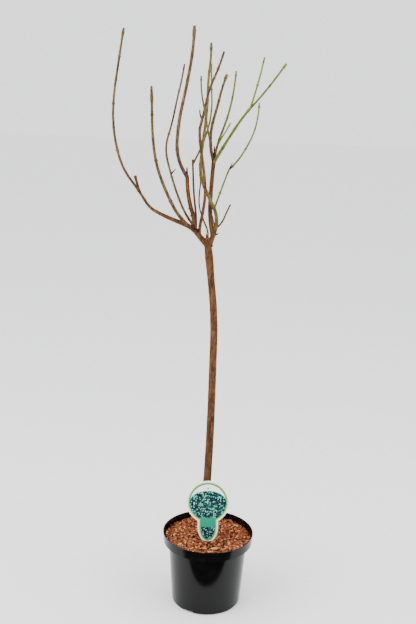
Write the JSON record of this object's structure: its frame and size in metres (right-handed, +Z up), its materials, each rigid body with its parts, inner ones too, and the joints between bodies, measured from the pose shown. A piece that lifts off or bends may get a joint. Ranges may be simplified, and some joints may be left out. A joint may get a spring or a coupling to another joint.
{
  "type": "potted catalpa standard tree",
  "caption": "Young grafted standard tree with a bare winter crown over one slim trunk, in a round black nursery pot with bark chips and a plant label.",
  "frame": {"origin": "centre of the pot's flat underside, on the ground", "axes": "+Z up along the pot's axis, +X to the viewer's right and +Y away from the viewer, with the label facing -Y"},
  "size_m": [0.4264, 0.2656, 1.5654],
  "materials": {
    "pot_plastic": "black moulded plastic, satin gloss",
    "bark_chips": "rough, loose bark chips, red-brown",
    "label_card": "printed plastic card, teal with a white edge",
    "old_bark": "brown bark, matt, with fine fissures",
    "young_bark": "olive-brown shoot bark, smooth, with pale pores",
    "dead_wood": "dark dead wood, matt"
  },
  "bodies": {
    "root": {"pot": "pot_plastic", "soil": "bark_chips", "label": "label_card", "trunk": "old_bark", "left_bough": "old_bark", "right_bough": "old_bark", "tall_shoot_lower": "old_bark", "tall_shoot_upper": "young_bark", "far_left_shoot": "young_bark", "far_left_stub": "old_bark", "outer_left_shoot": "young_bark", "brown_shoot_lower": "old_bark", "brown_shoot_upper": "young_bark", "mid_left_shoot": "young_bark", "inner_left_lower": "old_bark", "inner_left_upper": "young_bark", "thin_centre_shoot": "old_bark", "right_stem": "old_bark", "olive_shoot": "young_bark", "right_inner_shoot": "young_bark", "right_branch": "young_bark", "right_branch_outer": "young_bark", "right_branch_inner": "young_bark", "right_mid_shoot": "young_bark", "small_right_shoot": "young_bark", "right_dead_stub": "dead_wood", "pale_centre_shoot": "young_bark", "right_outer_lower": "young_bark", "right_outer_upper": "young_bark", "right_spur": "old_bark"}
  },
  "joints": []
}
